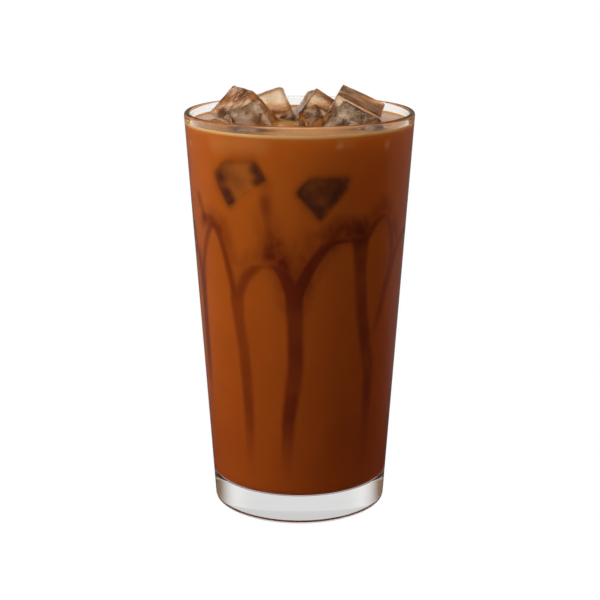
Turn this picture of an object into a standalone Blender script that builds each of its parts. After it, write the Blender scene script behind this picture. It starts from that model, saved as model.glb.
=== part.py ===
"""A frozen hot chocolate over ice, in its plain conical glass.

The glass, the chocolate drink with the syrup that ran down its side, and seven floating ice
cubes are separate solids. Metres, +Z up. The origin is the middle of the glass's foot, on the
surface that it stands on, and the drinker's side shown in the picture faces -Y.
"""

import math

import bpy
import bmesh
from mathutils import Euler, Vector

MM = 0.001

# The glass
GLASS_HEIGHT = 157.7 * MM
RIM_RADIUS = 44.5 * MM
HEEL_RADIUS = 34.4 * MM
HEEL_ROUND = 1.4 * MM
WALL = 2.3 * MM
BASE_THICKNESS = 11.0 * MM
FLOOR_ROUND = 4.0 * MM
GLASS_SIDES = 96
HEEL_STEPS = 4
LIP_STEPS = 8
FLOOR_STEPS = 6

# The drink, up to its level
FIT_GAP = 0.3 * MM
LEVEL = GLASS_HEIGHT - 4.0 * MM
MENISCUS_RISE = 0.6 * MM
MENISCUS_WIDTH = 1.8 * MM
SYRUP_RELIEF = 0.7 * MM
DRINK_SIDES = 72
CORNER_STEPS = 5

# The syrup: each run hangs from the place where two arches meet. The arch that follows a run
# joins it to the next one. Angles are in degrees from the front, positive to the right, and
# heights are in millimetres above the foot of the glass. A run turns towards its foot early
# where its bend is under 1, and late where it is over 1. The larger the bow, the flatter the
# arch's top and the steeper its ends.
SYRUP_RADIUS = 3.7 * MM
SYRUP_ROUND_STEPS = 2
POINT_SPACING = 4.5 * MM
SYRUP = [
    dict(top=(-69, 95), foot=(-70.5, 44), bend=1.0, stout=0.95, arch=(-52.5, 118), bow=1.6),
    dict(top=(-37.4, 90.5), foot=(-33, 21), bend=0.8, stout=0.95, arch=(-17, 105.3), bow=2.1),
    dict(top=(-3, 90), foot=(-8, 19), bend=1.5, stout=1.10, arch=(26, 114.6), bow=2.4),
    dict(top=(34.5, 111), foot=(46.5, 20), bend=0.8, stout=1.05, arch=(51, 122), bow=1.8),
    dict(top=(62, 104), foot=(48, 72), bend=1.0, stout=0.90, arch=(80, 113), bow=1.8),
    dict(top=(98, 97), foot=(100, 32), bend=0.7, stout=1.00, arch=(116, 121), bow=1.8),
    dict(top=(133, 107), foot=(131, 22), bend=0.7, stout=1.10, arch=(151, 114), bow=1.8),
    dict(top=(168, 94), foot=(170, 40), bend=1.2, stout=0.90, arch=(186, 118), bow=1.8),
    dict(top=(204, 101), foot=(203, 26), bend=0.7, stout=1.05, arch=(226, 112), bow=1.8),
    dict(top=(246, 95), foot=(247, 35), bend=0.7, stout=1.00, arch=(269, 120), bow=1.8),
]
RUN_STEPS = 24
RUN_TOP_STOUT = 1.15
RUN_THINS_BY = 0.35
RUN_THINS_WITHIN = 1 / 3
FOOT_START = 0.7
FOOT_SINK = 1.4
ARCH_STEPS = 24
ARCH_CROWN_STOUT = 0.80
ARCH_THICKENS_BY = 0.15
SMEAR_STEPS = 8
SMEAR_STOUT = 0.9
SMEAR_FADE = 122
SMEAR_FADE_LENGTH = 12
SMEARS = [
    # thick trails above the arches, from the top down
    [(-17.5, 129), (-16.5, 120), (-13, 112.5)],
    [(-13, 116), (-8.5, 105), (-3.5, 93)],
    [(112, 134), (117, 121)],
    [(222, 131), (226, 112)],
]

# The ice cubes that stand above the drink
ICE_EDGE_ROUND = 1.5 * MM
ICE_EDGE_STEPS = 2
ICE = {
    # width, depth, height and centre in millimetres; turns about X, Y and Z in degrees
    "ice_left": dict(size=(15.5, 18.5, 18), centre=(-21, -0.5, 155), turn=(95, -45, 25), taper=0.03),
    "ice_back_left": dict(size=(13, 13, 14.5), centre=(-11.5, 22, 156), turn=(-113, 5, 98), taper=0.10),
    "ice_front_left": dict(size=(17.5, 13, 13), centre=(-18, -22.5, 153.5), turn=(-116, 36, 91), taper=-0.09),
    "ice_middle": dict(size=(10, 16, 9), centre=(-6, 2.5, 148.2), turn=(136, -21, 104), taper=-0.07),
    "ice_back": dict(size=(18, 21, 21), centre=(8, 22, 149), turn=(-53, 11, 102), taper=-0.04),
    "ice_front_small": dict(size=(9, 13, 8.5), centre=(5.5, -14, 153.5), turn=(109, -16, 38), taper=-0.06),
    "ice_right": dict(size=(16.5, 14.5, 19), centre=(21, 4, 155.5), turn=(-61, -9, 81), taper=-0.07),
    "ice_front_right": dict(size=(17.5, 18.5, 19), centre=(19, -20.5, 149), turn=(-47, 22, -31), taper=0.02),
}

MERGE_DISTANCE = 0.01 * MM
SHARP_ANGLE = 35


def outer_radius(height):
    """Radius of the glass's outer side, straight from the heel to the rim."""
    share = (height - HEEL_ROUND) / (GLASS_HEIGHT - HEEL_ROUND)
    return HEEL_RADIUS + (RIM_RADIUS - HEEL_RADIUS) * share


def inner_radius(height):
    return outer_radius(height) - WALL


def arc(centre_x, centre_z, radius, start, end, steps):
    """Points of a round corner, by angle from +X towards +Z."""
    points = []
    for step in range(steps + 1):
        angle = math.radians(start + (end - start) * step / steps)
        points.append((centre_x + radius * math.cos(angle), centre_z + radius * math.sin(angle)))
    return points


def new_collection(name):
    collection = bpy.data.collections.new(name)
    bpy.context.scene.collection.children.link(collection)
    return collection


def move_to(obj, collection):
    for owner in list(obj.users_collection):
        owner.objects.unlink(obj)
    collection.objects.link(obj)


def material(name, colour, roughness, transmission=0.0, ior=1.45):
    made = bpy.data.materials.new(name)
    made.use_nodes = True
    shader = made.node_tree.nodes["Principled BSDF"]
    shader.inputs["Base Color"].default_value = (*colour, 1.0)
    shader.inputs["Roughness"].default_value = roughness
    shader.inputs["Metallic"].default_value = 0.0
    shader.inputs["Transmission Weight"].default_value = transmission
    shader.inputs["IOR"].default_value = ior
    return made


def turned(name, profile, sides, collection, finish):
    """A round body: the profile runs down its outer side, from axis to axis."""
    mesh = bpy.data.meshes.new(name)
    points = [(x, 0.0, z) for x, z in profile]
    edges = [(i, i + 1) for i in range(len(points) - 1)]
    mesh.from_pydata(points, edges, [])
    obj = bpy.data.objects.new(name, mesh)
    collection.objects.link(obj)
    screw = obj.modifiers.new("Turn", "SCREW")
    screw.axis = "Z"
    screw.steps = sides
    screw.render_steps = sides
    screw.use_merge_vertices = True
    screw.merge_threshold = MERGE_DISTANCE
    screw.use_smooth_shade = True
    mesh.materials.append(finish)
    return obj


def apply_modifiers(obj):
    """Gives the object the mesh that its modifiers make."""
    graph = bpy.context.evaluated_depsgraph_get()
    made = bpy.data.meshes.new_from_object(obj.evaluated_get(graph))
    obj.modifiers.clear()
    obj.data = made


def make_glass(collection):
    lip = WALL / 2
    floor_radius = inner_radius(BASE_THICKNESS + FLOOR_ROUND) - FLOOR_ROUND
    profile = [(0.0, BASE_THICKNESS)]
    profile += arc(floor_radius, BASE_THICKNESS + FLOOR_ROUND, FLOOR_ROUND, -90, 0, FLOOR_STEPS)
    profile += arc(RIM_RADIUS - lip, GLASS_HEIGHT - lip, lip, 180, 0, LIP_STEPS)
    profile += arc(HEEL_RADIUS - HEEL_ROUND, HEEL_ROUND, HEEL_ROUND, 0, -90, HEEL_STEPS)
    profile += [(0.0, 0.0)]
    finish = material("clear glass", (0.97, 0.98, 0.98), 0.02, transmission=1.0, ior=1.5)
    return turned("glass", profile, GLASS_SIDES, collection, finish)


def drink_profile():
    side_gap = FIT_GAP + SYRUP_RELIEF
    bottom = BASE_THICKNESS + FIT_GAP
    corner = FLOOR_ROUND
    brim = LEVEL + MENISCUS_RISE
    edge = inner_radius(brim) - side_gap
    profile = [(0.0, LEVEL), (edge - MENISCUS_WIDTH, LEVEL)]
    profile += [(edge - MENISCUS_WIDTH / 3, LEVEL + MENISCUS_RISE / 4), (edge, brim)]
    floor_edge = inner_radius(bottom + corner) - side_gap - corner
    profile += arc(floor_edge, bottom + corner, corner, 0, -90, CORNER_STEPS)
    profile += [(0.0, bottom)]
    return profile


def on_side(angle, height, stout, sink=0.0):
    """Middle of a syrup strand whose crest stands proud of the drink, just clear of the glass."""
    turn = math.radians(angle)
    reach = inner_radius(height * MM) - FIT_GAP - SYRUP_RADIUS * stout - sink
    return Vector((reach * math.sin(turn), -reach * math.cos(turn), height * MM))


def spread(route):
    """The route (point, stoutness) again, with points about one spacing apart."""
    spaced = [route[0]]
    for point, stout in route[1:]:
        if (point - spaced[-1][0]).length >= POINT_SPACING:
            spaced.append((point, stout))
    if (route[-1][0] - spaced[-1][0]).length > POINT_SPACING / 3:
        spaced.append(route[-1])
    return spaced


def strand(name, route, collection):
    """One strand of syrup as a closed mesh tube along the route."""
    curve = bpy.data.curves.new(name, "CURVE")
    curve.dimensions = "3D"
    curve.bevel_depth = SYRUP_RADIUS
    curve.bevel_resolution = SYRUP_ROUND_STEPS
    curve.use_fill_caps = True
    route = spread(route)
    spline = curve.splines.new("POLY")
    spline.points.add(len(route) - 1)
    for target, (point, stout) in zip(spline.points, route):
        target.co = (*point, 1.0)
        target.radius = stout
    guide = bpy.data.objects.new(name + "_guide", curve)
    collection.objects.link(guide)
    bpy.context.view_layer.update()
    graph = bpy.context.evaluated_depsgraph_get()
    mesh = bpy.data.meshes.new_from_object(guide.evaluated_get(graph))
    shape = bmesh.new()
    shape.from_mesh(mesh)
    bmesh.ops.remove_doubles(shape, verts=shape.verts, dist=MERGE_DISTANCE)
    bmesh.ops.recalc_face_normals(shape, faces=shape.faces)
    shape.to_mesh(mesh)
    shape.free()
    tube = bpy.data.objects.new(name, mesh)
    tube.matrix_world = guide.matrix_world
    collection.objects.link(tube)
    bpy.data.objects.remove(guide)
    return tube


def run_route(run):
    """Down the glass from the run's top to its foot, where it thins and sinks into the drink."""
    (top_angle, top_height), (foot_angle, foot_height) = run["top"], run["foot"]
    route = []
    for step in range(RUN_STEPS + 1):
        share = step / RUN_STEPS
        angle = top_angle + (foot_angle - top_angle) * share ** run["bend"]
        height = top_height + (foot_height - top_height) * share
        thinned = min(1.0, share / RUN_THINS_WITHIN)
        stout = run["stout"] * (RUN_TOP_STOUT - RUN_THINS_BY * thinned)
        sink = SYRUP_RELIEF * FOOT_SINK * max(0.0, (share - FOOT_START) / (1 - FOOT_START)) ** 2
        route.append((on_side(angle, height, stout, sink), stout))
    return route


def arch_route(run, following):
    """From the top of one run up to the arch's top and down to the top of the next run."""
    (start_angle, start_height), (top_angle, top_height) = run["top"], run["arch"]
    end_angle, end_height = following["top"]
    if end_angle < start_angle:
        end_angle += 360
    route = []
    for step in range(ARCH_STEPS + 1):
        angle = start_angle + (end_angle - start_angle) * step / ARCH_STEPS
        if angle < top_angle:
            away, foot = (top_angle - angle) / (top_angle - start_angle), start_height
        else:
            away, foot = (angle - top_angle) / (end_angle - top_angle), end_height
        height = top_height - (top_height - foot) * away ** run["bow"]
        stout = ARCH_CROWN_STOUT + ARCH_THICKENS_BY * away
        route.append((on_side(angle, height, stout), stout))
    return route


def smear_route(smear):
    """A thick trail between the heights given, sunk at its upper end."""
    route = []
    for (angle, height), (next_angle, next_height) in zip(smear, smear[1:]):
        for step in range(SMEAR_STEPS + 1):
            share = step / SMEAR_STEPS
            place = (angle + (next_angle - angle) * share, height + (next_height - height) * share)
            sink = SYRUP_RELIEF * max(0.0, (place[1] - SMEAR_FADE) / SMEAR_FADE_LENGTH)
            route.append((on_side(*place, SMEAR_STOUT, sink), SMEAR_STOUT))
    return route


def ice_block(name, block, collection, grow=0.0):
    """An ice cube: a block with a slight taper and melted edges, turned as it floats."""
    bpy.ops.mesh.primitive_cube_add(size=1.0)
    obj = bpy.context.active_object
    obj.name = name
    for vertex in obj.data.vertices:
        narrow = 1.0 + block["taper"] * 2 * vertex.co.z
        width, depth, height = (side * MM + grow for side in block["size"])
        vertex.co = (vertex.co.x * width * narrow, vertex.co.y * depth * narrow, vertex.co.z * height)
    obj.location = Vector(block["centre"]) * MM
    obj.rotation_euler = Euler([math.radians(turn) for turn in block["turn"]])
    bevel = obj.modifiers.new("Melted edges", "BEVEL")
    bevel.width = ICE_EDGE_ROUND
    bevel.segments = ICE_EDGE_STEPS
    bevel.limit_method = "NONE"
    move_to(obj, collection)
    return obj


def make_drink(collection):
    finish = material("chocolate drink", (0.26, 0.09, 0.02), 0.35)
    drink = turned("drink", drink_profile(), DRINK_SIDES, collection, finish)
    apply_modifiers(drink)
    strands = new_collection("syrup strands")
    for number, run in enumerate(SYRUP):
        following = SYRUP[(number + 1) % len(SYRUP)]
        strand(f"run_{number}", run_route(run), strands)
        strand(f"arch_{number}", arch_route(run, following), strands)
    for number, smear in enumerate(SMEARS):
        strand(f"smear_{number}", smear_route(smear), strands)
    join = drink.modifiers.new("Syrup", "BOOLEAN")
    join.operation = "UNION"
    join.operand_type = "COLLECTION"
    join.collection = strands
    join.solver = "EXACT"
    apply_modifiers(drink)
    for obj in list(strands.objects):
        bpy.data.objects.remove(obj)
    bpy.data.collections.remove(strands)
    return drink


def float_ice(drink, collection, cutters):
    """The ice cubes, each in a hollow of the drink a little larger than itself."""
    finish = material("ice", (0.90, 0.93, 0.95), 0.08, transmission=1.0, ior=1.31)
    for name, block in ICE.items():
        cube = ice_block(name, block, collection)
        cube.data.materials.append(finish)
        cutter = ice_block(name + "_hollow", block, cutters, grow=2 * FIT_GAP)
        cutter.display_type = "WIRE"
        cutter.hide_render = True
        cut = drink.modifiers.new(name + "_hollow", "BOOLEAN")
        cut.operation = "DIFFERENCE"
        cut.object = cutter
        cut.solver = "EXACT"


def smooth_round_pieces(objects):
    for obj in objects:
        obj.data.shade_smooth()
        obj.data.set_sharp_from_angle(angle=math.radians(SHARP_ANGLE))


for old in list(bpy.data.objects):
    bpy.data.objects.remove(old)
product = new_collection("frozen_hot_chocolate")
tools = new_collection("cutters")
glass_piece = make_glass(product)
drink_piece = make_drink(product)
float_ice(drink_piece, product, tools)
smooth_round_pieces([drink_piece])
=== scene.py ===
"""Looks for the frozen hot chocolate: a clear conical glass, a chocolate drink poured over ice
cubes, and the syrup that ran down inside the wall. Metres, +Z up, and the side shown in the
picture faces -Y.
"""

import math

import bpy
import numpy as np
from mathutils import Euler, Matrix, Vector, noise
from mathutils.bvhtree import BVHTree


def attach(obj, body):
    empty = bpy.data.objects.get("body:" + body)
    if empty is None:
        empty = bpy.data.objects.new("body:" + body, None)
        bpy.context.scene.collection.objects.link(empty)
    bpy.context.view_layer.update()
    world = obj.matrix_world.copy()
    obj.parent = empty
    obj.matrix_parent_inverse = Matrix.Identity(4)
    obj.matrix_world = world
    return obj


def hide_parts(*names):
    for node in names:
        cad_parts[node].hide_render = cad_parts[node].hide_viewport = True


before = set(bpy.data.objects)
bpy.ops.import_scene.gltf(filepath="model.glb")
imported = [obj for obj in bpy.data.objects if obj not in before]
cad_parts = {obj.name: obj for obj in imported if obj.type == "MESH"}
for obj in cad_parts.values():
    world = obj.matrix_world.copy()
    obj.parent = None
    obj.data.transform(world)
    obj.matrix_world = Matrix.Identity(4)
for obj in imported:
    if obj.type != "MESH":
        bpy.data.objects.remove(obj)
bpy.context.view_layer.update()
MM = 0.001


# The glass. A plain conical tumbler of pressed clear glass, with a thick flat foot and a lip
# that was fire-polished round. It is one piece, drawn up ring by ring from the foot, over the
# lip and down to the floor inside.
GLASS_HEIGHT = 157.7 * MM
RIM_RADIUS = 44.5 * MM
HEEL_RADIUS = 34.4 * MM
HEEL_ROUND = 1.4 * MM
WALL = 2.3 * MM
BASE_THICKNESS = 11.0 * MM
FLOOR_ROUND = 4.0 * MM
FOOT_RING = 1.1 * MM
FOOT_SLOPE = 1.8 * MM
FOOT_HOLLOW = 0.6 * MM
FLAT_BORDER = 1.5 * MM
GLASS_SIDES = 256
WALL_RINGS = 12
HEEL_STEPS = 10
LIP_STEPS = 16
FLOOR_STEPS = 10
GLASS_COLOUR = (0.985, 0.99, 0.985, 1)
GLASS_IOR = 1.5


def inner_radius(height):
    """Radius of the inside of the wall, straight from the floor to the rim."""
    share = (height - HEEL_ROUND) / (GLASS_HEIGHT - HEEL_ROUND)
    return HEEL_RADIUS + (RIM_RADIUS - HEEL_RADIUS) * share - WALL


def arc(centre_x, centre_z, radius, start, end, steps):
    """Points of a round corner, by angle from the outside towards the top."""
    points = []
    for step in range(steps + 1):
        turn = math.radians(start + (end - start) * step / steps)
        points.append((centre_x + radius * math.cos(turn), centre_z + radius * math.sin(turn)))
    return points


def straight(start, end, rings):
    """Rings between two rings, so that the shading stays straight along a wall."""
    shares = [step / (rings + 1) for step in range(1, rings + 1)]
    return [tuple(a + (b - a) * share for a, b in zip(start, end)) for share in shares]


def take(piece):
    """Makes this piece the only one that the next operators work on."""
    bpy.ops.object.select_all(action="DESELECT")
    piece.select_set(True)
    bpy.context.view_layer.objects.active = piece


def drawn_up(name, profile, sides):
    """A round closed piece: a disc is extruded through the profile's rings, from first to last."""
    bpy.ops.object.select_all(action="DESELECT")
    radius, height = profile[0]
    bpy.ops.mesh.primitive_circle_add(
        vertices=sides, radius=radius, fill_type="NGON", location=(0, 0, height)
    )
    piece = bpy.context.object
    piece.name = name
    bpy.ops.object.transform_apply(location=True, rotation=True, scale=True)
    bpy.ops.object.mode_set(mode="EDIT")
    bpy.ops.mesh.select_all(action="SELECT")
    for last, ring in zip(profile, profile[1:]):
        rise = (0, 0, ring[1] - last[1])
        bpy.ops.mesh.extrude_region_move(TRANSFORM_OT_translate={"value": rise})
        size = ring[0] / last[0]
        bpy.ops.transform.resize(value=(size, size, 1), center_override=(0, 0, ring[1]))
    bpy.ops.mesh.select_all(action="SELECT")
    bpy.ops.mesh.normals_make_consistent(inside=False)
    bpy.ops.mesh.select_all(action="DESELECT")
    bpy.ops.object.mode_set(mode="OBJECT")
    bpy.ops.object.shade_smooth()
    return piece


def node_tools(tree):
    """Short ways to add a node with its values, and to join two of them."""

    def add(kind, **values):
        node = tree.nodes.new("ShaderNode" + kind)
        for key, value in values.items():
            if hasattr(node, key):
                setattr(node, key, value)
            else:
                node.inputs[key.replace("_", " ")].default_value = value
        return node

    def join(source, target):
        tree.links.new(source, target)

    return add, join


def new_material(name):
    """A material with a Principled shader, and the tools to add and join its nodes."""
    made = bpy.data.materials.new(name)
    made.use_nodes = True
    return made, made.node_tree.nodes["Principled BSDF"], *node_tools(made.node_tree)


def glass_profile():
    """Rings from the hollow under the foot, up the outside, over the lip and down inside."""
    lip = WALL / 2
    corner = (HEEL_RADIUS - HEEL_ROUND, HEEL_ROUND)
    heel = arc(*corner, HEEL_ROUND, -90, 0, HEEL_STEPS)
    over = arc(RIM_RADIUS - lip, GLASS_HEIGHT - lip, lip, 0, 180, LIP_STEPS)
    floor_radius = inner_radius(BASE_THICKNESS + FLOOR_ROUND) - FLOOR_ROUND
    floor = arc(floor_radius, BASE_THICKNESS + FLOOR_ROUND, FLOOR_ROUND, 0, -90, FLOOR_STEPS)
    ring = corner[0] - FOOT_RING
    slope_end = ring - FOOT_SLOPE
    hollow = [(slope_end - FLAT_BORDER, FOOT_HOLLOW), (slope_end, FOOT_HOLLOW)]
    profile = hollow + [(ring, 0.0)] + heel
    profile += straight(heel[-1], over[0], WALL_RINGS) + over
    profile += straight(over[-1], floor[0], WALL_RINGS) + floor
    return profile + [(floor_radius - FLAT_BORDER, BASE_THICKNESS)]


glass = drawn_up("clear_glass", glass_profile(), GLASS_SIDES)
finish, shader, add, join = new_material("clear pressed glass")
shader.inputs["Base Color"].default_value = GLASS_COLOUR
shader.inputs["Transmission Weight"].default_value = 1.0
shader.inputs["IOR"].default_value = GLASS_IOR
place = add("TexCoord")
ripple = add("TexNoise", Scale=30.0, Detail=1.0)
polish = add("MapRange", To_Min=0.0, To_Max=0.015)
relief = add("Bump", Strength=0.03, Distance=0.0003)
join(place.outputs["Object"], ripple.inputs["Vector"])
join(ripple.outputs["Fac"], polish.inputs["Value"])
join(polish.outputs["Result"], shader.inputs["Roughness"])
join(ripple.outputs["Fac"], relief.inputs["Height"])
join(relief.outputs["Normal"], shader.inputs["Normal"])
glass.data.materials.append(finish)
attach(glass, "root")
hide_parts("glass")


# The ice that stands above the drink. Eight cubes from a bar's ice maker, each with a slight
# taper, melted round edges and faces that are no longer quite flat. They float, wedged
# between each other and the wall.
ICE = {
    # width, depth, height and centre in millimetres; turns about X, Y and Z in degrees
    "ice_left": dict(
        size=(15.5, 18.5, 18), centre=(-21, -0.5, 155), turn=(95, -45, 25), taper=0.03
    ),
    "ice_back_left": dict(
        size=(13, 13, 14.5), centre=(-11.5, 22, 156), turn=(-113, 5, 98), taper=0.10
    ),
    "ice_front_left": dict(
        size=(17.5, 13, 13), centre=(-18, -22.5, 153.5), turn=(-116, 36, 91), taper=-0.09
    ),
    "ice_middle": dict(
        size=(10, 16, 9), centre=(-6, 2.5, 148.2), turn=(136, -21, 104), taper=-0.07
    ),
    "ice_back": dict(
        size=(18, 21, 21), centre=(8, 22, 149), turn=(-53, 11, 102), taper=-0.04
    ),
    "ice_front_small": dict(
        size=(9, 13, 8.5), centre=(5.5, -14, 153.5), turn=(109, -16, 38), taper=-0.06
    ),
    "ice_right": dict(
        size=(16.5, 14.5, 19), centre=(21, 4, 155.5), turn=(-61, -9, 81), taper=-0.07
    ),
    "ice_front_right": dict(
        size=(17.5, 18.5, 19), centre=(19, -20.5, 149), turn=(-47, 22, -31), taper=0.02
    ),
}
ICE_CUTS = 5
ICE_EDGE_ROUND = 0.8 * MM
ICE_EDGE_STEPS = 3
ICE_SMOOTHING = 2
EDGE_TURN = math.radians(60)
MELT = 0.22 * MM
MELT_SIZE = 4.5 * MM
FINE_MELT = 0.5
FINE_MELT_DENSITY = 2.3
MELTED_AWAY = 1.2
# Where the painted shade along the edges of each cube begins, and how fast it fades.
EDGE_SHADE_START = 0.3 * MM
EDGE_SHADE_WIDTH = 0.7 * MM
ICE_IOR = 1.31
CLEAR_ICE = (0.93, 0.71, 0.48, 1)
CLOUDY_ICE = (0.98, 0.74, 0.50, 1)
# The colour of the painted shade along the edges of the ice.
ICE_EDGE_SHADE_COLOUR = (0.20, 0.06, 0.012, 1)


def places(piece):
    """All points of a piece, one row each."""
    co = np.zeros(len(piece.data.vertices) * 3)
    piece.data.vertices.foreach_get("co", co)
    return co.reshape(-1, 3)


def store(piece, key, values):
    """Keeps one number per point on the piece, for its material to read."""
    field = piece.data.attributes.new(key, "FLOAT", "POINT")
    field.data.foreach_set("value", np.asarray(values, dtype=np.float32))


def ice_cube(name, block):
    """A cube is cut into squares, tapered, bevelled along its twelve edges and melted uneven."""
    bpy.ops.object.select_all(action="DESELECT")
    bpy.ops.mesh.primitive_cube_add(size=1.0)
    cube = bpy.context.object
    cube.name = name
    bpy.ops.object.mode_set(mode="EDIT")
    bpy.ops.mesh.select_all(action="SELECT")
    bpy.ops.mesh.subdivide(number_cuts=ICE_CUTS)
    bpy.ops.mesh.select_all(action="DESELECT")
    bpy.ops.object.mode_set(mode="OBJECT")
    width, depth, height = (side * MM for side in block["size"])
    for vertex in cube.data.vertices:
        narrow = 1.0 + block["taper"] * 2 * vertex.co.z
        x, y, z = vertex.co
        vertex.co = (x * width * narrow, y * depth * narrow, z * height)
    bpy.ops.object.mode_set(mode="EDIT")
    bpy.ops.mesh.select_mode(type="EDGE")
    bpy.ops.mesh.edges_select_sharp(sharpness=EDGE_TURN)
    bpy.ops.mesh.bevel(offset=ICE_EDGE_ROUND, segments=ICE_EDGE_STEPS, affect="EDGES")
    bpy.ops.mesh.select_mode(type="VERT")
    bpy.ops.object.mode_set(mode="OBJECT")
    cube.rotation_euler = Euler([math.radians(turn) for turn in block["turn"]])
    cube.location = Vector(block["centre"]) * MM
    bpy.ops.object.transform_apply(location=True, rotation=True, scale=True)
    fine = cube.modifiers.new("Fine mesh", "SUBSURF")
    fine.levels = fine.render_levels = ICE_SMOOTHING
    bpy.ops.object.modifier_apply(modifier=fine.name)
    outward = [Vector(facing.vector) for facing in cube.data.vertex_normals]
    for vertex, facing in zip(cube.data.vertices, outward):
        swell = noise.noise(vertex.co / MELT_SIZE)
        swell += FINE_MELT * noise.noise(vertex.co * FINE_MELT_DENSITY / MELT_SIZE)
        vertex.co += facing * (swell - MELTED_AWAY) * MELT
    bpy.ops.object.shade_smooth()
    return cube


def edge_shade_falloff(cube, block):
    """Painted shade along the twelve edges of a cube: 1 at the edges, falling to 0 within a few
    millimetres.
    """
    turn = np.array(Euler([math.radians(turn) for turn in block["turn"]]).to_matrix())
    local = (places(cube) - np.array(block["centre"]) * MM) @ turn
    half = np.array(block["size"]) * MM / 2
    narrow = 1.0 + block["taper"] * local[:, 2] / half[2]
    depth = np.abs(half * np.stack([narrow, narrow, np.ones(len(local))], -1)) - np.abs(local)
    to_edge = np.sort(depth, axis=1)[:, 1]
    return np.exp(-np.maximum(to_edge - EDGE_SHADE_START, 0) / EDGE_SHADE_WIDTH)


ice_finish, shader, add, join = new_material("wet clear ice with cloudy cracks and painted edge shade")
shader.inputs["IOR"].default_value = ICE_IOR
place = add("TexCoord")
milky = add("TexNoise", Scale=200.0, Detail=6.0, Roughness=0.68)
cloudy = add("MapRange", From_Min=0.44, From_Max=0.68, To_Min=0.0, To_Max=0.4)
bend = add("TexNoise", Scale=90.0, Detail=2.0)
bent = add("MixRGB", blend_type="ADD", Fac=0.012)
cracks = add("TexVoronoi", feature="DISTANCE_TO_EDGE", Scale=150.0)
crack_line = add("MapRange", From_Min=0.0, From_Max=0.022, To_Min=0.4, To_Max=0.0)
crack_patch = add("MapRange", From_Min=0.5, From_Max=0.62, To_Min=0.0, To_Max=1.0)
cracked = add("Math", operation="MULTIPLY")
white = add("Math", operation="MAXIMUM")
clear = add("Math", operation="SUBTRACT")
clear.inputs[0].default_value = 1.0
tint = add("MixRGB")
tint.inputs["Color1"].default_value = CLEAR_ICE
tint.inputs["Color2"].default_value = CLOUDY_ICE
frost = add("MapRange", From_Min=0.0, From_Max=0.5, To_Min=0.01, To_Max=0.32)
# The painted shade along the cube's edges, laid on in patches.
edge = add("Attribute", attribute_name="edge")
edge_shade_patch = add("MapRange", From_Min=0.38, From_Max=0.5, To_Min=0.25, To_Max=0.95)
edge_shade_share = add("Math", operation="MULTIPLY")
edge_shaded = add("MixRGB")
edge_shaded.inputs["Color2"].default_value = ICE_EDGE_SHADE_COLOUR
ripple = add("TexNoise", Scale=420.0, Detail=5.0, Roughness=0.65)
relief = add("Bump", Strength=0.7, Distance=0.0007)
join(place.outputs["Object"], milky.inputs["Vector"])
join(place.outputs["Object"], ripple.inputs["Vector"])
join(place.outputs["Object"], bend.inputs["Vector"])
join(place.outputs["Object"], bent.inputs["Color1"])
join(bend.outputs["Color"], bent.inputs["Color2"])
join(bent.outputs["Color"], cracks.inputs["Vector"])
join(cracks.outputs["Distance"], crack_line.inputs["Value"])
join(bend.outputs["Fac"], crack_patch.inputs["Value"])
join(crack_line.outputs["Result"], cracked.inputs[0])
join(crack_patch.outputs["Result"], cracked.inputs[1])
join(milky.outputs["Fac"], cloudy.inputs["Value"])
join(cloudy.outputs["Result"], white.inputs[0])
join(cracked.outputs[0], white.inputs[1])
join(white.outputs[0], clear.inputs[1])
join(clear.outputs[0], shader.inputs["Transmission Weight"])
join(white.outputs[0], tint.inputs["Fac"])
join(bend.outputs["Fac"], edge_shade_patch.inputs["Value"])
join(edge_shade_patch.outputs["Result"], edge_shade_share.inputs[0])
join(edge.outputs["Fac"], edge_shade_share.inputs[1])
join(edge_shade_share.outputs[0], edge_shaded.inputs["Fac"])
join(tint.outputs["Color"], edge_shaded.inputs["Color1"])
join(edge_shaded.outputs["Color"], shader.inputs["Base Color"])
join(white.outputs[0], frost.inputs["Value"])
join(frost.outputs["Result"], shader.inputs["Roughness"])
join(ripple.outputs["Fac"], relief.inputs["Height"])
join(relief.outputs["Normal"], shader.inputs["Normal"])

floating = []
for node, block in ICE.items():
    cube = ice_cube(node.replace("ice_", "ice_cube_"), block)
    # Each cube keeps its painted edge shade in the field 'edge'.
    store(cube, "edge", edge_shade_falloff(cube, block))
    cube.data.materials.append(ice_finish)
    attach(cube, "root")
    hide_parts(node)
    floating.append(cube)


# Two more ice cubes from the same maker, wholly sunk in the drink and pressed against the
# front of the wall, where they show as two dark windows. Each is cut off along the wall that it
# touches and carries painted shade, darkest near its edges, which spreads a little onto the drink.
SUNK_ICE = {
    "sunk_ice_left": dict(size=(13, 19, 16.5), centre=(-19.5, -30, 136.4), turn=(49, 49, -67)),
    "sunk_ice_right": dict(size=(13, 16, 17), centre=(7.9, -34.5, 131.9), turn=(133, -37, 164)),
}
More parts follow.
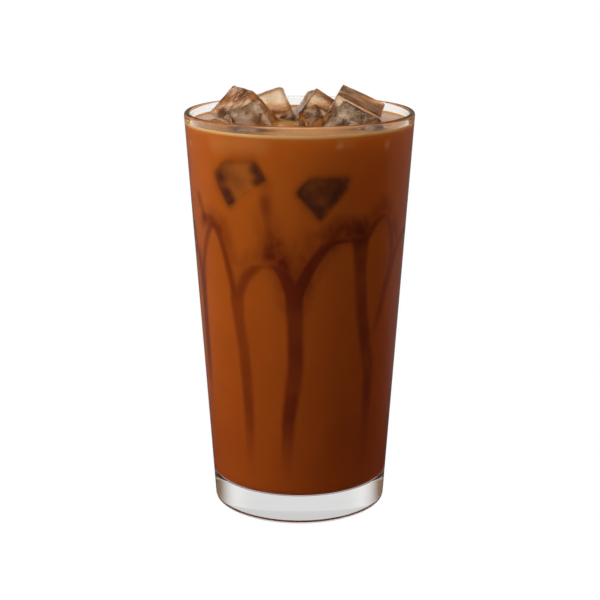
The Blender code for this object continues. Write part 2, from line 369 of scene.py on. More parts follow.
# What shows in each window: soft strokes of painted shade over the wall. A stroke's way is given
# as angles in degrees from the front, positive to the right, and heights in millimetres above the
# table. Its half width is in millimetres too.
WINDOW_SHADES = [
    dict(way=[(-44.5, 138), (-45, 134), (-41.5, 130.5), (-38.6, 128)], half=3.6, dark=0.82),
    dict(way=[(-40, 131), (-38.2, 127.5)], half=2.6, dark=0.8),
    dict(way=[(-22, 141), (-18.3, 138.3), (-21.3, 137.2)], half=2.5, dark=0.9),
    dict(way=[(-42, 142.5), (-33, 145.5), (-24.5, 145.5), (-20.5, 141)], half=2.4, dark=0.55),
    dict(way=[(-38, 137), (-31, 134)], half=3.5, dark=0.35),
    dict(way=[(-36, 139), (-27, 140)], half=4.5, dark=0.25),
    dict(way=[(-0.5, 133.5), (3.5, 129.3), (9.6, 125)], half=2.8, dark=0.93),
    dict(way=[(9.6, 125), (16.5, 129.8), (22, 135)], half=2.6, dark=0.88),
    dict(way=[(21, 135), (27, 140)], half=2.0, dark=0.7),
    dict(way=[(1, 136.5), (9, 138.5), (19, 138.5)], half=1.8, dark=0.55),
    dict(way=[(5, 132), (15, 134.5)], half=5.5, dark=0.84),
]
INTO_WALL = 0.1 * MM
WINDOWS_FROM = 115 * MM
WINDOWS_TO = 150 * MM
WINDOW_RINGS = 90
# Where the windows' painted shade may reach onto the drink, and how far it spreads.
WINDOW_SHADE_FROM = 110 * MM
CUT_EDGE_TURN = math.radians(30)
WINDOW_SHADE_REACH = 1.1 * MM
WINDOW_COLOUR = (0.60, 0.165, 0.022, 1)
WINDOW_SHADE_COLOUR = (0.085, 0.022, 0.010, 1)


def ramp(start, end, value):
    """0 before start, 1 after end, and a soft rise or fall between them."""
    share = np.clip((value - start) / (end - start), 0, 1)
    return share * share * (3 - 2 * share)


def turn_between(angle, other):
    """Degrees from one angle to the other, the shorter way round."""
    return (angle - other + 180) % 360 - 180


def around(co):
    """Reach from the axis, angle from the front and millimetres round the wall per degree."""
    reach = np.hypot(co[:, 0], co[:, 1])
    return reach, np.degrees(np.arctan2(co[:, 0], -co[:, 1])), np.radians(1.0) * reach / MM


def away_from(way, angle, height, across):
    """Distance in millimetres from a way over the wall, given as angles and heights."""
    nearest = np.full(len(height), 1000.0)
    for (angle_a, height_a), (angle_b, height_b) in zip(way, way[1:]):
        off = np.stack([turn_between(angle, angle_a) * across, height - height_a], -1)
        rise = np.full_like(across, height_b - height_a)
        leg = np.stack([(angle_b - angle_a) * across, rise], -1)
        share = np.clip((off * leg).sum(-1) / (leg * leg).sum(-1), 0, 1)
        nearest = np.minimum(nearest, np.linalg.norm(off - leg * share[:, None], axis=-1))
    return nearest


def strokes(all_strokes, angle, height, across):
    """Soft strokes over the wall, laid one over another."""
    clear = np.ones(len(height))
    for stroke in all_strokes:
        off = away_from(stroke["way"], angle, height, across) / stroke["half"]
        clear *= 1 - stroke["dark"] * (1 - ramp(0.1, 1.7, off))
    return 1 - clear


def distance_to(piece, spots):
    """Distance of each spot to the surface of a piece."""
    tree = BVHTree.FromObject(piece, bpy.context.evaluated_depsgraph_get())
    return np.array([tree.find_nearest(Vector(spot))[3] for spot in spots])


def carve(piece, tool, operation):
    """Joins or cuts the piece with the tool, and leaves the tool as it is."""
    take(piece)
    cut = piece.modifiers.new("Carve", "BOOLEAN")
    cut.operation = operation
    cut.object = tool
    cut.solver = "MANIFOLD"
    bpy.ops.object.modifier_apply(modifier=cut.name)


# The sunk ice is drawn opaque: drink brown, darkened by strokes of painted shade.
window_finish, shader, add, join = new_material("sunk ice with painted shade")
shader.inputs["Roughness"].default_value = 0.7
shader.inputs["Specular IOR Level"].default_value = 0.0
place = add("TexCoord")
shade = add("Attribute", attribute_name="window_shade")
haze = add("TexNoise", Scale=170.0, Detail=3.0)
uneven = add("MapRange", From_Min=0.3, From_Max=0.7, To_Min=0.85, To_Max=1.15)
depth = add("Math", operation="MULTIPLY")
window = add("MixRGB")
window.inputs["Color1"].default_value = WINDOW_COLOUR
window.inputs["Color2"].default_value = WINDOW_SHADE_COLOUR
join(place.outputs["Object"], haze.inputs["Vector"])
join(haze.outputs["Fac"], uneven.inputs["Value"])
join(uneven.outputs["Result"], depth.inputs[0])
join(shade.outputs["Fac"], depth.inputs[1])
join(depth.outputs[0], window.inputs["Fac"])
join(window.outputs["Color"], shader.inputs["Base Color"])

foot_ring = (inner_radius(WINDOWS_FROM) + INTO_WALL, WINDOWS_FROM)
top_ring = (inner_radius(WINDOWS_TO) + INTO_WALL, WINDOWS_TO)
room_rings = [foot_ring] + straight(foot_ring, top_ring, WINDOW_RINGS) + [top_ring]
room = drawn_up("room_in_the_glass", room_rings, GLASS_SIDES)
sunk = []
windows = []
for name, block in SUNK_ICE.items():
    cube = ice_cube(name, dict(block, taper=0))
    take(cube)
    bpy.ops.object.duplicate()
    sunk.append(bpy.context.object)
    carve(cube, room, "INTERSECT")
    co = places(cube)
    reach, angle, across = around(co)
    store(cube, "window_shade", strokes(WINDOW_SHADES, angle, co[:, 2] / MM, across))
    cube.data.materials.clear()
    cube.data.materials.append(window_finish)
    take(cube)
    bpy.ops.object.shade_smooth_by_angle(angle=CUT_EDGE_TURN)
    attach(cube, "root")
    windows.append(cube)
bpy.data.objects.remove(room)


# The drink. Chocolate milk poured over the ice up to just under the rim, with chocolate syrup
# that was drizzled round the inside of the glass first: arches from which long runs hang. It
# wets the wall, so it reaches just into it, and it lies close round each cube.
LEVEL = GLASS_HEIGHT - 4.0 * MM
MENISCUS_RISE = 0.6 * MM
MENISCUS_WIDTH = 1.8 * MM
MENISCUS_RINGS = 5
TOP_RING_SPACING = 0.6 * MM
TOP_MIDDLE = 2.5 * MM
DRINK_CORNER_STEPS = 8
DRINK_FLAT_BORDER = 1.0 * MM
SURFACE_BAND = 0.1 * MM
FLAT_TOP_BAND = 0.2 * MM
FLAT_FACING = 0.5
CORNER_TOP = BASE_THICKNESS + 6 * MM
CREEP = 0.5 * MM
CREEP_WIDTH = 1.1 * MM
ICE_SHADOW = 0.85
ICE_SHADOW_WIDTH = 1.8 * MM
ICE_OVERLAP = 0.08 * MM
AT_WALL = 0.05 * MM
DRINK_SIDES = 320
SIDE_CUTS = 190
TALL_EDGE = 50 * MM
TOP_EDGE_TURN = math.radians(50)
# Each run: its way down as angles and heights, its half width in millimetres, how dark it is,
# how much syrup pooled above its head, and the crown of the arch that leads to the next run. The
# larger the bow, the flatter that arch's crown and the steeper its legs.
SYRUP = [
    dict(
        way=[(-69, 95), (-70, 70), (-70.5, 44)],
        half=2.3, dark=0.7, pool=0.3, crown=(-52.5, 118), bow=1.6,
    ),
    dict(
        way=[(-37.4, 90.5), (-36.6, 83), (-34.5, 72), (-33.3, 60), (-32.7, 42), (-33.6, 18)],
        half=2.4, dark=0.74, pool=0.4, crown=(-17, 105.3), bow=2.1,
    ),
    dict(
        way=[(-3, 90), (-2.5, 77), (-2.6, 65), (-4.6, 54), (-6.9, 43), (-8, 30), (-8, 16)],
        half=2.9, dark=0.92, pool=0.8, crown=(26, 114.6), bow=2.4,
    ),
    dict(
        way=[(34.5, 111), (35.6, 98), (37.8, 85), (41.5, 73), (45.2, 62), (45.6, 48), (46, 18)],
        half=2.6, dark=0.68, pool=0.6, crown=(51, 122), bow=1.8,
    ),
    dict(
        way=[(62, 104), (56.5, 94), (52.7, 84.5), (46.5, 72)],
        half=1.9, dark=0.5, pool=0.3, crown=(80, 113), bow=1.8,
    ),
    dict(
        way=[(98, 97), (99.3, 60), (100, 32)],
        half=2.6, dark=0.75, pool=0.5, crown=(116, 121), bow=1.8,
    ),
    dict(
        way=[(133, 107), (131.6, 64), (131, 22)],
        half=2.8, dark=0.85, pool=0.4, crown=(151, 114), bow=1.8,
    ),
    dict(
        way=[(168, 94), (169, 66), (170, 40)],
        half=2.4, dark=0.6, pool=0.6, crown=(186, 118), bow=1.8,
    ),
    dict(
        way=[(204, 101), (203.4, 62), (203, 26)],
        half=2.7, dark=0.8, pool=0.4, crown=(226, 112), bow=1.8,
    ),
    dict(
        way=[(246, 95), (246.6, 64), (247, 35)],
        half=2.6, dark=0.7, pool=0.4, crown=(269, 120), bow=1.8,
    ),
]
SYRUP_RELIEF = 0.25 * MM
SYRUP_FILLET = 0.95
# The relief keeps to the wall: past this reach from the axis, and clear of floor and level.
RELIEF_REACH = 25 * MM
RELIEF_FROM = BASE_THICKNESS + 2 * MM
RELIEF_TO = LEVEL - 1 * MM
# Half width of an arch at its crown, and what a leg with a full pool gains, in millimetres. Then
# the share of the leg that counts as outside the arch, and a trace of syrup, so that nothing is
# divided by zero where there is none.
ARCH_LINE = 1.0
ARCH_LEG = 1.5
PAST_THE_ARCH = 1.6
TRACE = 0.0001
# Stains above the arches, and thin mottled film: the way of each, its half width in millimetres
# and how dark it is.
STAINS = [
    dict(way=[(-17.3, 136), (-17.8, 127)], half=2.4, dark=0.25),
    dict(way=[(-17.6, 130), (-16.5, 121), (-15.3, 115)], half=2.3, dark=0.5),
    dict(way=[(-15.3, 116), (-12.5, 111), (-8, 106), (-4, 96)], half=3.0, dark=0.6),
    dict(way=[(-10, 110.5), (-3, 107.5)], half=2.2, dark=0.45),
    dict(way=[(5.5, 105), (12.5, 113.5), (19, 117)], half=2.0, dark=0.55),
    dict(way=[(17, 117), (27, 118.5), (35, 114)], half=2.6, dark=0.55),
    dict(way=[(-36.5, 93), (-32, 99.5), (-26, 103.5)], half=2.2, dark=0.7),
    dict(way=[(-47.5, 117.5), (-44.5, 109.5), (-41.8, 101), (-39, 94)], half=1.4, dark=0.6),
    dict(way=[(-11, 104), (-7, 99), (-4, 92)], half=2.4, dark=0.45),
    dict(way=[(3.5, 99), (8, 106), (13, 111)], half=2.2, dark=0.4),
    dict(way=[(-61, 119), (-54, 120.5), (-47, 117.5)], half=2.7, dark=0.7),
    dict(way=[(-6, 104), (-1, 98), (2, 104)], half=3.0, dark=0.35),
    dict(way=[(-66, 128), (-61, 121)], half=1.8, dark=0.45),
    dict(way=[(112, 134), (117, 121)], half=2.2, dark=0.6),
    dict(way=[(185, 128), (186, 118)], half=2.4, dark=0.5),
    dict(way=[(222, 131), (226, 112)], half=2.2, dark=0.6),
]
FILMS = [
    dict(way=[(-17, 124), (-14, 112)], half=5.0, dark=0.4),
    dict(way=[(-13, 111), (-7, 103), (-3, 92)], half=5.5, dark=0.95),
    dict(way=[(-2, 94), (3, 104), (11, 113), (22, 119), (33, 118)], half=5.0, dark=0.9),
    dict(way=[(-2, 103), (3, 112)], half=6.5, dark=0.7),
    dict(way=[(-36, 99), (-28, 107), (-18, 110)], half=3.6, dark=0.4),
    dict(way=[(-64, 118), (-54, 122), (-45, 119), (-40, 106)], half=3.6, dark=0.5),
    dict(way=[(36, 117), (50, 126), (64, 112)], half=3.8, dark=0.5),
    dict(way=[(98, 102), (107, 117), (118, 125), (132, 111)], half=4.0, dark=0.7),
    dict(way=[(133, 112), (151, 119), (168, 99), (186, 123), (203, 106)], half=4.0, dark=0.6),
    dict(way=[(205, 107), (226, 118), (246, 100), (269, 124), (290, 99)], half=4.0, dark=0.6),
]

# Bubbles that cling to the wall: angle, height and radius in millimetres. Then pale streaks under
# the brim, partly foam and partly painted light, and how far below the level the pale band of foam
# and painted highlight begins.
BUBBLES = [
    (20.1, 150.4, 1.6),
    (48.9, 148.9, 1.7),
    (-72, 147, 1.2),
    (96, 149, 1.5),
    (150, 151, 1.8),
    (212, 148, 1.4),
]
BUBBLE_PALENESS = 0.2
FOAM_AND_LIGHT_STREAKS = [
    dict(way=[(-46, 149.5), (-33, 151), (-20, 151)], half=3.6, dark=0.08),
    dict(way=[(20, 151), (26, 150.5)], half=1.6, dark=0.05),
    dict(way=[(120, 150), (150, 151)], half=3.2, dark=0.12),
]
FOAM_AND_HIGHLIGHT_DEPTH = 0.9 * MM
# The colours of the milk, low down and high up, with painted shade that makes it darker low down;
# of what coats it against the glass, with the painted shade round the sunk ice; of the pale foam,
# partly a painted highlight; and of the open surface with its pale brim, partly a painted
# highlight, its painted shadow round the ice and the painted shade in the hollows round the ice.
MILK_LOW = (0.40, 0.070, 0.003, 1)
MILK_HIGH = (0.58, 0.132, 0.009, 1)
SYRUP_COLOUR = (0.165, 0.019, 0.002, 1)
WINDOW_SHADE_ON_DRINK = (0.085, 0.020, 0.008, 1)
FOAM_AND_HIGHLIGHT_COLOUR = (1.0, 0.74, 0.30, 1)
MIRROR_COLOUR = (0.97, 0.97, 0.96, 1)
SKIN_DARK = (0.20, 0.085, 0.020, 1)
SKIN_PALE = (0.38, 0.185, 0.055, 1)
BRIM_AND_HIGHLIGHT_COLOUR = (1.0, 0.74, 0.34, 1)
ICE_SHADOW_COLOUR = (0.10, 0.038, 0.012, 1)
HOLLOW_SHADE_DARK = (0.12, 0.036, 0.006, 1)
HOLLOW_SHADE_PALE = (0.44, 0.19, 0.055, 1)


def drink_profile():
    """Rings from the floor up the wall, in over the meniscus and along the open surface."""
    bottom = BASE_THICKNESS - INTO_WALL
    brim = LEVEL + MENISCUS_RISE
    corner = FLOOR_ROUND
    floor_radius = inner_radius(bottom + corner) + INTO_WALL - corner
    fillet = arc(floor_radius, bottom + corner, corner, -90, 0, DRINK_CORNER_STEPS)
    edge = inner_radius(brim) + INTO_WALL
    profile = [(floor_radius - DRINK_FLAT_BORDER, bottom)] + fillet + [(edge, brim)]
    for step in range(1, MENISCUS_RINGS + 1):
        away = step / MENISCUS_RINGS
        profile.append((edge - MENISCUS_WIDTH * away, LEVEL + MENISCUS_RISE * (1 - away) ** 2))
    radius = profile[-1][0]
    while radius > TOP_MIDDLE:
        radius -= TOP_RING_SPACING
        profile.append((radius, LEVEL))
    return profile


def arch_line(run, following, angle, height, across):
    """Height over an arch, square to its line, and how far along its leg each place is."""
    (left, left_top), (right, right_top) = run["way"][0], following["way"][0]
    span = (right - left) % 360
    crown, crown_height = (run["crown"][0] - left) % 360, run["crown"][1]
    along = (angle - left) % 360
    rising = along < crown
    away = np.where(rising, (crown - along) / crown, (along - crown) / (span - crown))
    away = np.where(along <= span, away, PAST_THE_ARCH)
    drop = crown_height - np.where(rising, left_top, right_top)
    length = np.where(rising, crown, span - crown) * across
    slope = drop / length * run["bow"] * away ** (run["bow"] - 1)
    over = (height - crown_height + drop * away ** run["bow"]) / np.sqrt(1 + slope * slope)
    return over, away, rising


def syrup_on_the_wall(angle, height):
    """How thick the syrup lies (0 to 1) and how much thin film there is, at places on the wall."""
    across = np.radians(1.0) * np.array([inner_radius(h * MM) / MM for h in height])
    joined = np.zeros_like(height)
    weight = np.full_like(height, TRACE)
    dark = np.zeros_like(height)
    for run, following in zip(SYRUP, SYRUP[1:] + SYRUP[:1]):
        head, foot = run["way"][0][1], run["way"][-1][1]
        low_down = np.clip((head - height) / (head - foot), 0, 1)
        stout = 1.15 - 0.2 * ramp(0, 0.12, low_down) - 0.25 * ramp(0.4, 0.9, low_down)
        half = run["half"] * stout
        near = np.exp((half - away_from(run["way"], angle, height, across)) / SYRUP_FILLET)
        joined += near
        weight += near
        dark += near * run["dark"] * (1 - ramp(0.55, 1.05, low_down))
        over, away, rising = arch_line(run, following, angle, height, across)
        foot_run_dark = np.where(rising, run["dark"], following["dark"])
        pool = np.where(rising, run["pool"], following["pool"])
        half = ARCH_LINE + ARCH_LEG * pool * ramp(0.0, 0.8, away)
        here = 1 - ramp(1.0, 1.35, away)
        near = here * np.exp((half - np.abs(over)) / SYRUP_FILLET)
        joined += near
        weight += near
        dark += near * (foot_run_dark * (0.95 + 0.15 * away))
    edge = SYRUP_FILLET * np.log(joined + TRACE)
    thick = dark / weight * ramp(-1.2, 1.0, edge)
    thick = 1 - (1 - thick) * (1 - strokes(STAINS, angle, height, across))
    return thick, strokes(FILMS, angle, height, across)


drink = drawn_up("chocolate_drink", drink_profile(), DRINK_SIDES)
co = places(drink)
edges = np.zeros(len(drink.data.edges) * 2, dtype=int)
drink.data.edges.foreach_get("vertices", edges)
ends = co[edges.reshape(-1, 2)]
tall = np.abs(ends[:, 0, 2] - ends[:, 1, 2]) > TALL_EDGE
take(drink)
bpy.ops.object.mode_set(mode="EDIT")
bpy.ops.mesh.select_mode(type="EDGE")
bpy.ops.object.mode_set(mode="OBJECT")
drink.data.edges.foreach_set("select", tall)
bpy.ops.object.mode_set(mode="EDIT")
bpy.ops.mesh.subdivide(number_cuts=SIDE_CUTS)
bpy.ops.mesh.select_mode(type="VERT")
bpy.ops.object.mode_set(mode="OBJECT")

co = places(drink)
reach, angle, across = around(co)
thick = syrup_on_the_wall(angle, co[:, 2] / MM)[0]
side = (reach > RELIEF_REACH) & (co[:, 2] < RELIEF_TO) & (co[:, 2] > RELIEF_FROM)
push = np.where(side, 1 + SYRUP_RELIEF * thick / np.maximum(reach, MM), 1)
co[:, 0] *= push
co[:, 1] *= push
open_top = np.nonzero((co[:, 2] > LEVEL - SURFACE_BAND) & (reach < RIM_RADIUS))[0]
gap = np.min([distance_to(cube, co[open_top]) for cube in floating], axis=0)
co[open_top, 2] += CREEP * np.exp(-gap / CREEP_WIDTH)
drink.data.vertices.foreach_set("co", co.ravel())
drink.data.update()

for cube in floating + sunk:
    take(cube)
    bpy.ops.object.duplicate()
    hollow = bpy.context.object
    bpy.ops.object.mode_set(mode="EDIT")
    bpy.ops.mesh.select_all(action="SELECT")
    bpy.ops.transform.shrink_fatten(value=-ICE_OVERLAP)
    bpy.ops.object.mode_set(mode="OBJECT")
    carve(drink, hollow, "DIFFERENCE")
    bpy.data.objects.remove(hollow)
for whole_cube in sunk:
    bpy.data.objects.remove(whole_cube)

co = places(drink)
reach, angle, across = around(co)
thick, film = syrup_on_the_wall(angle, co[:, 2] / MM)
on_wall = reach > np.array([inner_radius(z) for z in co[:, 2]]) - AT_WALL
# The painted shade of the windows, spreading a little way onto the drink round them.
near_window = on_wall & (co[:, 2] > WINDOW_SHADE_FROM) & (co[:, 1] < 0)
shade = np.zeros(len(co))
gap = np.min([distance_to(window, co[near_window]) for window in windows], axis=0)
window_strokes = strokes(
    WINDOW_SHADES, angle[near_window], co[near_window, 2] / MM, across[near_window]
)
shade[near_window] = window_strokes * np.exp(-gap / WINDOW_SHADE_REACH)
# A pale band under the level, partly foam and partly painted highlight, with the streaks and
# bubbles.
foam_and_highlight = ramp(LEVEL - FOAM_AND_HIGHLIGHT_DEPTH, LEVEL + SURFACE_BAND, co[:, 2])
foam_and_highlight = np.maximum(foam_and_highlight, strokes(FOAM_AND_LIGHT_STREAKS, angle, co[:, 2] / MM, across))
for bubble_angle, bubble_height, size in BUBBLES:
    away = np.hypot(
        np.radians(turn_between(angle, bubble_angle)) * reach, co[:, 2] - bubble_height * MM
    )
    foam_and_highlight = np.maximum(foam_and_highlight, BUBBLE_PALENESS * (1 - ramp(0.2, 1.3, away / (size * MM))))
near_ice = np.zeros(len(co))
open_top = np.nonzero((co[:, 2] > LEVEL - SURFACE_BAND) & ~on_wall)[0]
gap = np.min([distance_to(cube, co[open_top]) for cube in floating], axis=0)
near_ice[open_top] = ICE_SHADOW * np.exp(-gap / ICE_SHADOW_WIDTH)
store(drink, "near_ice", near_ice)
store(drink, "syrup", np.where(on_wall, thick, 0))
store(drink, "film", np.where(on_wall, film, 0))
store(drink, "window_shade", shade)
store(drink, "foam_and_highlight", foam_and_highlight * on_wall)

# Light that runs steeply along inside the glass is mirrored where the drink wets the wall, as
# the drink bends light less than glass does.
side_finish, shader, add, join = new_material("chocolate drink against the glass")
shader.inputs["Specular IOR Level"].default_value = 0.0
place = add("TexCoord")
split = add("SeparateXYZ")
# Painted shade: the milk is made darker low down.
painted_low_shade = add("MapRange", From_Min=0.02, From_Max=0.15)
syrup = add("Attribute", attribute_name="syrup")
thin = add("Attribute", attribute_name="film")
foam_and_highlight = add("Attribute", attribute_name="foam_and_highlight")
window_shade = add("Attribute", attribute_name="window_shade")
swirl = add("TexNoise", Scale=45.0, Detail=3.0)
swirled = add("MapRange", From_Min=0.3, From_Max=0.7, To_Min=-0.14, To_Max=0.14)
height_share = add("Math", operation="ADD")
streak_place = add("Mapping")
streak_place.inputs["Scale"].default_value = (1, 1, 0.75)
streaks = add("TexNoise", Scale=110.0, Detail=4.0, Roughness=0.6, Distortion=0.6)
mottle = add("MapRange", From_Min=0.35, From_Max=0.65, To_Min=0.4, To_Max=1.1)
clots = add("MapRange", From_Min=0.3, From_Max=0.65, To_Min=0.72, To_Max=1.15)
lumpy = add("Math", operation="MULTIPLY")
film_share = add("Math", operation="MULTIPLY")
cover = add("Math", operation="MAXIMUM")
milk = add("MixRGB")
milk.inputs["Color1"].default_value = MILK_LOW
milk.inputs["Color2"].default_value = MILK_HIGH
coated = add("MixRGB")
coated.inputs["Color2"].default_value = SYRUP_COLOUR
# The windows' painted shade laid over the drink.
shaded = add("MixRGB")
shaded.inputs["Color2"].default_value = WINDOW_SHADE_ON_DRINK
foam_and_highlight_line = add("MixRGB")
foam_and_highlight_line.inputs["Color2"].default_value = FOAM_AND_HIGHLIGHT_COLOUR
flat = add("Fresnel", IOR=0.9)
mirror = add("MixRGB")
mirror.inputs["Color2"].default_value = MIRROR_COLOUR
gloss = add("MapRange", To_Min=0.8, To_Max=0.03)
join(place.outputs["Object"], split.inputs["Vector"])
join(place.outputs["Object"], swirl.inputs["Vector"])
join(place.outputs["Object"], streak_place.inputs["Vector"])
join(split.outputs["Z"], painted_low_shade.inputs["Value"])
join(swirl.outputs["Fac"], swirled.inputs["Value"])
join(painted_low_shade.outputs["Result"], height_share.inputs[0])
join(swirled.outputs["Result"], height_share.inputs[1])
join(height_share.outputs[0], milk.inputs["Fac"])
join(streak_place.outputs["Vector"], streaks.inputs["Vector"])
join(streaks.outputs["Fac"], mottle.inputs["Value"])
join(mottle.outputs["Result"], film_share.inputs[0])
join(thin.outputs["Fac"], film_share.inputs[1])
join(film_share.outputs[0], cover.inputs[0])
join(swirl.outputs["Fac"], clots.inputs["Value"])
join(clots.outputs["Result"], lumpy.inputs[0])
join(syrup.outputs["Fac"], lumpy.inputs[1])
join(lumpy.outputs[0], cover.inputs[1])
join(cover.outputs[0], coated.inputs["Fac"])
join(milk.outputs["Color"], coated.inputs["Color1"])
join(coated.outputs["Color"], shaded.inputs["Color1"])
join(window_shade.outputs["Fac"], shaded.inputs["Fac"])
join(shaded.outputs["Color"], foam_and_highlight_line.inputs["Color1"])
join(foam_and_highlight.outputs["Fac"], foam_and_highlight_line.inputs["Fac"])
join(foam_and_highlight_line.outputs["Color"], mirror.inputs["Color1"])
join(flat.outputs["Fac"], mirror.inputs["Fac"])
join(flat.outputs["Fac"], gloss.inputs["Value"])
join(flat.outputs["Fac"], shader.inputs["Metallic"])
join(mirror.outputs["Color"], shader.inputs["Base Color"])
join(gloss.outputs["Result"], shader.inputs["Roughness"])

top_finish, shader, add, join = new_material("open surface of the chocolate drink")
shader.inputs["Roughness"].default_value = 0.15
shader.inputs["IOR"].default_value = 1.36
shader.inputs["Specular IOR Level"].default_value = 0.25
place = add("TexCoord")
foam_and_highlight = add("Attribute", attribute_name="foam_and_highlight")
cream = add("TexNoise", Scale=120.0, Detail=5.0, Roughness=0.6)
skin = add("MixRGB")
skin.inputs["Color1"].default_value = SKIN_DARK
skin.inputs["Color2"].default_value = SKIN_PALE
# The pale brim of the open surface is partly a painted highlight.
brim_and_highlight = add("MixRGB")
brim_and_highlight.inputs["Color2"].default_value = BRIM_AND_HIGHLIGHT_COLOUR
near_ice = add("Attribute", attribute_name="near_ice")
shadow = add("MixRGB")
shadow.inputs["Color2"].default_value = ICE_SHADOW_COLOUR
bubbles = add("TexVoronoi", Scale=900.0)
relief = add("Bump", Strength=0.15, Distance=0.0003)
join(place.outputs["Object"], cream.inputs["Vector"])
join(place.outputs["Object"], bubbles.inputs["Vector"])
join(cream.outputs["Fac"], skin.inputs["Fac"])
join(skin.outputs["Color"], brim_and_highlight.inputs["Color1"])
join(foam_and_highlight.outputs["Fac"], brim_and_highlight.inputs["Fac"])
join(near_ice.outputs["Fac"], shadow.inputs["Fac"])
join(brim_and_highlight.outputs["Color"], shadow.inputs["Color1"])
join(shadow.outputs["Color"], shader.inputs["Base Color"])
join(bubbles.outputs["Distance"], relief.inputs["Height"])
join(relief.outputs["Normal"], shader.inputs["Normal"])

# The hollows in the drink round the ice carry painted shade: a mottled darker brown.
ice_hollow_shade_finish, shader, add, join = new_material("drink in the hollows round the ice with painted shade")
shader.inputs["Roughness"].default_value = 0.5
shader.inputs["Specular IOR Level"].default_value = 0.1
place = add("TexCoord")
swirl = add("TexNoise", Scale=110.0, Detail=4.0)
hollow_shaded = add("MixRGB")
hollow_shaded.inputs["Color1"].default_value = HOLLOW_SHADE_DARK
hollow_shaded.inputs["Color2"].default_value = HOLLOW_SHADE_PALE
join(place.outputs["Object"], swirl.inputs["Vector"])
join(swirl.outputs["Fac"], hollow_shaded.inputs["Fac"])
join(hollow_shaded.outputs["Color"], shader.inputs["Base Color"])

drink.data.materials.clear()
for finish in (side_finish, top_finish, ice_hollow_shade_finish):
    drink.data.materials.append(finish)
corners = np.zeros(len(drink.data.loops), dtype=int)
drink.data.loops.foreach_get("vertex_index", corners)
starts = np.zeros(len(drink.data.polygons), dtype=int)
drink.data.polygons.foreach_get("loop_start", starts)
wet_glass = on_wall | (co[:, 2] < CORNER_TOP)
against_glass = np.logical_and.reduceat(wet_glass[corners], starts)
facing = np.zeros(len(drink.data.polygons) * 3)
drink.data.polygons.foreach_get("normal", facing)
centre = np.zeros(len(drink.data.polygons) * 3)
drink.data.polygons.foreach_get("center", centre)
facing, centre = facing.reshape(-1, 3), centre.reshape(-1, 3)
flat_top = (facing[:, 2] > FLAT_FACING) & (centre[:, 2] > LEVEL - FLAT_TOP_BAND)
finish_index = np.where(against_glass, 0, np.where(flat_top, 1, 2))
drink.data.polygons.foreach_set("material_index", finish_index)
drink.data.update()
take(drink)
bpy.ops.object.shade_smooth_by_angle(angle=TOP_EDGE_TURN)
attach(drink, "root")
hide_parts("drink")


# The studio: a white floor and a white room, with a large cool light from the left, a warm one
# from behind and softer ones elsewhere. What the camera sees directly is plain white. What lights
# the drink, what shines back from gloss and what shows through glass and ice are set one by one.
FLOOR_SIZE = 6.0
FLOOR_DROP = 0.2 * MM
FLOOR_LIGHT = (0.2, 0.17, 0.13, 1)
WARM_LIGHT = (1.0, 0.74, 0.52)
COOL_LIGHT = (1.0, 1.04, 1.08)
MIRRORED_LIGHT = (1.05, 0.82, 0.58)
SEEN_THROUGH_ICE = (0.80, 0.50, 0.30)
bpy.ops.object.select_all(action="DESELECT")
bpy.ops.mesh.primitive_plane_add(size=FLOOR_SIZE, location=(0, 0, -FLOOR_DROP))
floor = bpy.context.object
floor.name = "studio_floor"
paper, shader, add, join = new_material("white studio paper")
paper.node_tree.nodes.remove(shader)
place = add("TexCoord")
spot = add("VectorMath", operation="LENGTH")
# Seen through the glass, the floor is darker near it: a painted contact shadow.
painted_contact_shadow = add("MapRange", From_Min=0.05, From_Max=0.20, To_Min=0.66, To_Max=0.95)
rays = add("LightPath")
after_diffuse = add("Math", operation="GREATER_THAN")
after_diffuse.inputs[1].default_value = 0.5
parts = add("SeparateXYZ")
behind = add("MapRange", From_Min=0.03, From_Max=0.15, To_Min=0.03, To_Max=0.10)
in_mirror = add("MixRGB")
lit = add("MixRGB")
lit.inputs["Color2"].default_value = FLOOR_LIGHT
seen = add("MixRGB")
seen.inputs["Color2"].default_value = (1, 1, 1, 1)
glow = add("Emission")
join(place.outputs["Object"], spot.inputs[0])
join(spot.outputs["Value"], painted_contact_shadow.inputs["Value"])
join(place.outputs["Object"], parts.inputs["Vector"])
join(parts.outputs["Y"], behind.inputs["Value"])
join(behind.outputs["Result"], in_mirror.inputs["Color1"])
join(rays.outputs["Diffuse Depth"], after_diffuse.inputs[0])
join(rays.outputs["Is Transmission Ray"], in_mirror.inputs["Fac"])
join(painted_contact_shadow.outputs["Result"], in_mirror.inputs["Color2"])
join(after_diffuse.outputs[0], lit.inputs["Fac"])
join(in_mirror.outputs["Color"], lit.inputs["Color1"])
join(rays.outputs["Is Camera Ray"], seen.inputs["Fac"])
join(lit.outputs["Color"], seen.inputs["Color1"])
join(seen.outputs["Color"], glow.inputs["Color"])
join(glow.outputs["Emission"], paper.node_tree.nodes["Material Output"].inputs["Surface"])
floor.data.materials.append(paper)

world = bpy.data.worlds.new("white studio")
bpy.context.scene.world = world
world.use_nodes = True
add, join = node_tools(world.node_tree)


def toward(azimuth, elevation):
    """Unit direction, by the angle round from the front and the angle above the horizon."""
    turn, lift = math.radians(azimuth), math.radians(elevation)
    return (math.sin(turn) * math.cos(lift), -math.cos(turn) * math.cos(lift), math.sin(lift))


def glow_toward(azimuth, elevation, start, end, low, high):
    """Brightness that rises softly as the direction comes within some cosine of this one."""
    dot = add("VectorMath", operation="DOT_PRODUCT")
    dot.inputs[1].default_value = toward(azimuth, elevation)
    join(direction, dot.inputs[0])
    shape = add("MapRange", interpolation_type="SMOOTHSTEP")
    for key, value in (("From Min", start), ("From Max", end), ("To Min", low), ("To Max", high)):
        shape.inputs[key].default_value = value
    join(dot.outputs["Value"], shape.inputs["Value"])
    return shape.outputs["Result"]


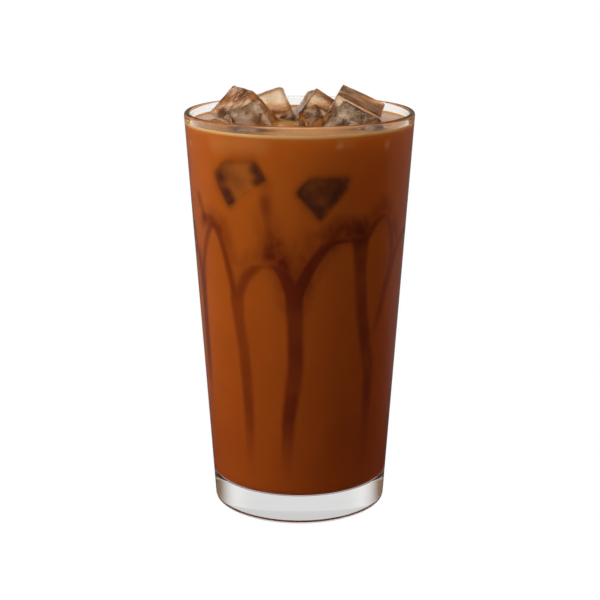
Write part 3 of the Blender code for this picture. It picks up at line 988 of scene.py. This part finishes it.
def added(a, b):
    """The sum of two brightnesses or colours."""
    both = add("VectorMath", operation="ADD")
    join(a, both.inputs[0])
    join(b, both.inputs[1])
    return both.outputs[0]


def tinted(brightness, colour):
    """A brightness given a colour."""
    tint = add("VectorMath", operation="SCALE")
    tint.inputs[0].default_value = colour
    join(brightness, tint.inputs["Scale"])
    return tint.outputs[0]


def chosen(switch, no, yes=None):
    """The first colour where the switch is off, and the second, or white, where it is on."""
    mix = add("MixRGB")
    join(switch, mix.inputs["Fac"])
    join(no, mix.inputs["Color1"])
    mix.inputs["Color2"].default_value = (1, 1, 1, 1)
    if yes is not None:
        join(yes, mix.inputs["Color2"])
    return mix.outputs["Color"]


direction = add("TexCoord").outputs["Generated"]
rays = add("LightPath")
fill = added(glow_toward(180, 15, 0.2, 0.98, 0.0, 4.1), glow_toward(100, 15, 0.75, 0.98, 0.0, 1.1))
fill = added(fill, glow_toward(0, 15, 0.2, 0.98, 0.0, 0.38))
lighting = added(
    tinted(fill, WARM_LIGHT),
    tinted(glow_toward(-70, 15, 0.75, 0.98, 0.0, 6.3), COOL_LIGHT),
)
lighting = added(lighting, glow_toward(0, 90, 0.8, 0.98, 0.0, 2.2))
mirrored = added(
    glow_toward(180, 15, 0.3, 0.8, 0.0, 0.25),
    glow_toward(-30, 84, 0.90, 0.96, 0.0, 3.5),
)
mirrored = tinted(mirrored, MIRRORED_LIGHT)
through = added(
    glow_toward(180, 5, 0.35, 0.8, 0.0, 0.92),
    glow_toward(180, 30, 0.8, 0.95, 0.0, -0.15),
)
through = added(through, tinted(glow_toward(0, 0, -0.8, 0.0, 0.0, 0.8), SEEN_THROUGH_ICE))
through = added(through, tinted(glow_toward(0, 0, 0.0, 0.8, 0.0, -0.4), SEEN_THROUGH_ICE))
after_diffuse = add("Math", operation="GREATER_THAN")
after_diffuse.inputs[1].default_value = 0.5
join(rays.outputs["Diffuse Depth"], after_diffuse.inputs[0])
chain = chosen(rays.outputs["Is Transmission Ray"], mirrored, through)
other = chosen(after_diffuse.outputs[0], chain, lighting)
final = chosen(rays.outputs["Is Camera Ray"], other)
join(final, world.node_tree.nodes["Background"].inputs["Color"])
world.cycles.sampling_method = "NONE"
bpy.context.scene.view_settings.view_transform = "Standard"

CAMERA_PLACE = (0, -0.56664, 0.23589)
CAMERA_TILT = math.radians(74.51)
bpy.ops.object.camera_add(location=CAMERA_PLACE, rotation=(CAMERA_TILT, 0, 0))
camera = bpy.context.object
camera.data.lens = 88.2
camera.data.sensor_width = 36
camera.data.shift_x = 0.0008
camera.data.shift_y = 0.0122
bpy.context.scene.camera = camera
